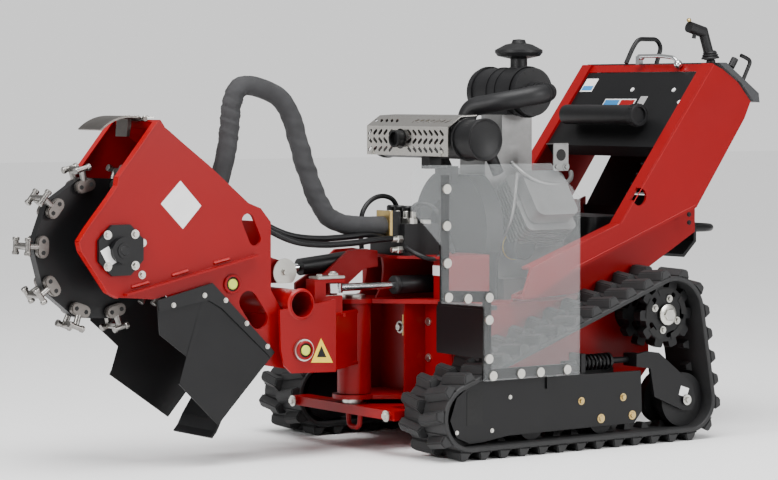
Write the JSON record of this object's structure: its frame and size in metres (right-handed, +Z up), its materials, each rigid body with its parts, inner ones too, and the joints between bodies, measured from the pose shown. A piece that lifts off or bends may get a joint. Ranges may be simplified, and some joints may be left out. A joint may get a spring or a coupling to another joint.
{
  "type": "stump grinder",
  "caption": "Tracked walk-behind stump grinder with a lifting, swinging cutter head, rubber tracks, side-mounted engine shield and operator console.",
  "frame": {"origin": "on the ground under the middle of the machine's width, below the rear of the engine", "axes": "+Z up, -X towards the cutter wheel, +X towards the operator"},
  "size_m": [2.3188, 0.921, 1.2124],
  "materials": {
    "red_paint": "gloss",
    "black_paint": "satin",
    "dark_plastic": "matte",
    "track_rubber": "matte",
    "skirt_rubber": "satin",
    "clear_sheet": "clear",
    "zinc": "satin",
    "stainless": "brushed",
    "chrome": "polished",
    "cast_alloy": "cast",
    "cast_black": "satin",
    "gunmetal": "satin",
    "sleeve_fabric": "woven",
    "spring_steel": "satin"
  },
  "bodies": {
    "root": {"main_frame": "red_paint", "swing_pin": "zinc", "lower_beam": "red_paint", "side_arms": "red_paint", "console_panel": "black_paint", "console_hood": "red_paint", "control_deck": "dark_plastic", "rear_guard": "black_paint", "document_tube": "dark_plastic", "hand_rail": "black_paint", "shield": "clear_sheet", "shield_fasteners": "zinc", "front_bracket": "black_paint", "engine": "cast_alloy", "blower_housing": "dark_plastic", "muffler": "cast_black", "heat_shield": "stainless", "air_cleaner": "dark_plastic", "rain_cap": "dark_plastic", "intake_hose": "dark_plastic", "hydraulic_tank": "black_paint", "valve_block": "cast_black", "track_frames": "black_paint", "track_belt_left": "track_rubber", "track_belt_right": "track_rubber", "drive_motors": "cast_black", "tension_springs": "spring_steel", "hoses_rear": "sleeve_fabric"},
    "swing": {"swing_post": "red_paint", "lift_pin": "zinc", "hoses_front": "sleeve_fabric"},
    "head": {"head_frame": "red_paint", "head_skirt": "skirt_rubber", "bearing_housings": "black_paint", "cutter_motor": "cast_black"},
    "cutter": {"cutter_wheel": "black_paint", "tooth_clamps": "gunmetal", "cutter_teeth": "gunmetal"},
    "flap": {"top_flap": "zinc"},
    "lift_barrel": {"lift_cylinder": "black_paint"},
    "lift_rod": {"lift_rod": "chrome"},
    "swing_barrel": {"swing_cylinder": "black_paint"},
    "swing_rod": {"swing_rod": "chrome"},
    "joystick": {"joystick": "dark_plastic"},
    "trigger": {"joystick_trigger": "dark_plastic"},
    "choke": {"choke_knob": "dark_plastic"},
    "drive_lever": {"drive_lever": "black_paint"},
    "throttle": {"throttle_lever": "chrome"},
    "sprocket_left": {"sprocket_left": "cast_black"},
    "front_idler_left": {"front_idler_left": "cast_black"},
    "rear_roller_left": {"rear_roller_left": "cast_black"},
    "tension_arm_left": {"tension_arm_left": "black_paint"},
    "road_wheel_left_1": {"road_wheel_left_1": "cast_black"},
    "road_wheel_left_2": {"road_wheel_left_2": "cast_black"},
    "sprocket_right": {"sprocket_right": "cast_black"},
    "front_idler_right": {"front_idler_right": "cast_black"},
    "rear_roller_right": {"rear_roller_right": "cast_black"},
    "tension_arm_right": {"tension_arm_right": "black_paint"},
    "road_wheel_right_1": {"road_wheel_right_1": "cast_black"},
    "road_wheel_right_2": {"road_wheel_right_2": "cast_black"}
  },
  "joints": [
    {"name": "swing", "type": "hinge", "parent": "root", "child": "swing", "pos_m": [-0.657, 0, 0.27], "axis": [0, 0, 1], "range_deg": [-20, 20], "deforming": ["hoses_rear", "hoses_front"]},
    {"name": "lift", "type": "hinge", "parent": "swing", "child": "head", "pos_m": [-0.937, 0, 0.302], "axis": [0, -1, 0], "range_deg": [0, 38], "deforming": ["hoses_front"]},
    {"name": "cutter_spin", "type": "hinge", "parent": "head", "child": "cutter", "pos_m": [-1.487, 0, 0.59], "axis": [0, 1, 0], "continuous": true},
    {"name": "flap_hinge", "type": "hinge", "parent": "head", "child": "flap", "pos_m": [-1.377, 0, 0.931], "axis": [0, 1, 0], "range_deg": [0, 70]},
    {"name": "lift_cylinder_pivot", "type": "hinge", "parent": "swing", "child": "lift_barrel", "pos_m": [-0.625, 0, 0.537], "axis": [0, -1, 0], "range_deg": [-0.5, 3.5]},
    {"name": "lift_rod_slide", "type": "slide", "parent": "lift_barrel", "child": "lift_rod", "axis": [-0.9955, 0, -0.0953], "range_m": [-0.001, 0.138]},
    {"name": "swing_cylinder_pivot", "type": "hinge", "parent": "root", "child": "swing_barrel", "pos_m": [-0.335, -0.1, 0.462], "axis": [0, 0, 1], "range_deg": [-7, 7]},
    {"name": "swing_rod_slide", "type": "slide", "parent": "swing_barrel", "child": "swing_rod", "axis": [-1, 0, 0], "range_m": [-0.036, 0.036]},
    {"name": "joystick_tilt", "type": "hinge", "parent": "root", "child": "joystick", "pos_m": [0.48, -0.225, 1.092], "axis": [0, 1, 0], "range_deg": [-12, 12], "stiffness_Nm_per_rad": 2},
    {"name": "trigger_pull", "type": "slide", "parent": "joystick", "child": "trigger", "axis": [0.1961, 0, 0.9806], "range_m": [0, 0.004], "stiffness_N_per_m": 300},
    {"name": "choke_pull", "type": "slide", "parent": "root", "child": "choke", "axis": [0.5501, 0, 0.8351], "range_m": [0, 0.012]},
    {"name": "drive_lever_tilt", "type": "hinge", "parent": "root", "child": "drive_lever", "pos_m": [0.556, -0.28, 1.034], "axis": [0, 1, 0], "range_deg": [-10, 25]},
    {"name": "throttle_turn", "type": "hinge", "parent": "root", "child": "throttle", "pos_m": [0.408, 0.018, 1.09], "axis": [0, 0, 1], "range_deg": [-35, 0]},
    {"name": "drive_left", "type": "hinge", "parent": "root", "child": "sprocket_left", "pos_m": [0.15, -0.355, 0.365], "axis": [0, 1, 0], "continuous": true},
    {"name": "idler_left", "type": "hinge", "parent": "root", "child": "front_idler_left", "pos_m": [-0.576, -0.355, 0.119], "axis": [0, 1, 0], "continuous": true},
    {"name": "tension_left", "type": "slide", "parent": "root", "child": "tension_arm_left", "axis": [1, 0, 0], "range_m": [-0.012, 0], "stiffness_N_per_m": 15000, "deforming": ["tension_springs"]},
    {"name": "roller_left", "type": "hinge", "parent": "tension_arm_left", "child": "rear_roller_left", "pos_m": [0.214, -0.355, 0.116], "axis": [0, 1, 0], "continuous": true},
    {"name": "road_left_1", "type": "hinge", "parent": "root", "child": "road_wheel_left_1", "pos_m": [-0.34, -0.355, 0.082], "axis": [0, 1, 0], "continuous": true},
    {"name": "road_left_2", "type": "hinge", "parent": "root", "child": "road_wheel_left_2", "pos_m": [-0.09, -0.355, 0.082], "axis": [0, 1, 0], "continuous": true},
    {"name": "drive_right", "type": "hinge", "parent": "root", "child": "sprocket_right", "pos_m": [0.15, 0.355, 0.365], "axis": [0, 1, 0], "continuous": true},
    {"name": "idler_right", "type": "hinge", "parent": "root", "child": "front_idler_right", "pos_m": [-0.576, 0.355, 0.119], "axis": [0, 1, 0], "continuous": true},
    {"name": "tension_right", "type": "slide", "parent": "root", "child": "tension_arm_right", "axis": [1, 0, 0], "range_m": [-0.012, 0], "stiffness_N_per_m": 15000, "deforming": ["tension_springs"]},
    {"name": "roller_right", "type": "hinge", "parent": "tension_arm_right", "child": "rear_roller_right", "pos_m": [0.214, 0.355, 0.116], "axis": [0, 1, 0], "continuous": true},
    {"name": "road_right_1", "type": "hinge", "parent": "root", "child": "road_wheel_right_1", "pos_m": [-0.34, 0.355, 0.082], "axis": [0, 1, 0], "continuous": true},
    {"name": "road_right_2", "type": "hinge", "parent": "root", "child": "road_wheel_right_2", "pos_m": [-0.09, 0.355, 0.082], "axis": [0, 1, 0], "continuous": true}
  ],
  "couplings": [
    {"joint": "lift_cylinder_pivot", "follows": "lift", "ratio": 0.075},
    {"joint": "lift_rod_slide", "follows": "lift", "m_per_rad": 0.205},
    {"joint": "swing_cylinder_pivot", "follows": "swing", "ratio": 0.3},
    {"joint": "swing_rod_slide", "follows": "swing", "m_per_rad": -0.099},
    {"joint": "idler_left", "follows": "drive_left", "ratio": 1.2099},
    {"joint": "roller_left", "follows": "drive_left", "ratio": 1.2564},
    {"joint": "road_left_1", "follows": "drive_left", "ratio": 2.2273},
    {"joint": "road_left_2", "follows": "drive_left", "ratio": 2.2273},
    {"joint": "idler_right", "follows": "drive_right", "ratio": 1.2099},
    {"joint": "roller_right", "follows": "drive_right", "ratio": 1.2564},
    {"joint": "road_right_1", "follows": "drive_right", "ratio": 2.2273},
    {"joint": "road_right_2", "follows": "drive_right", "ratio": 2.2273}
  ]
}
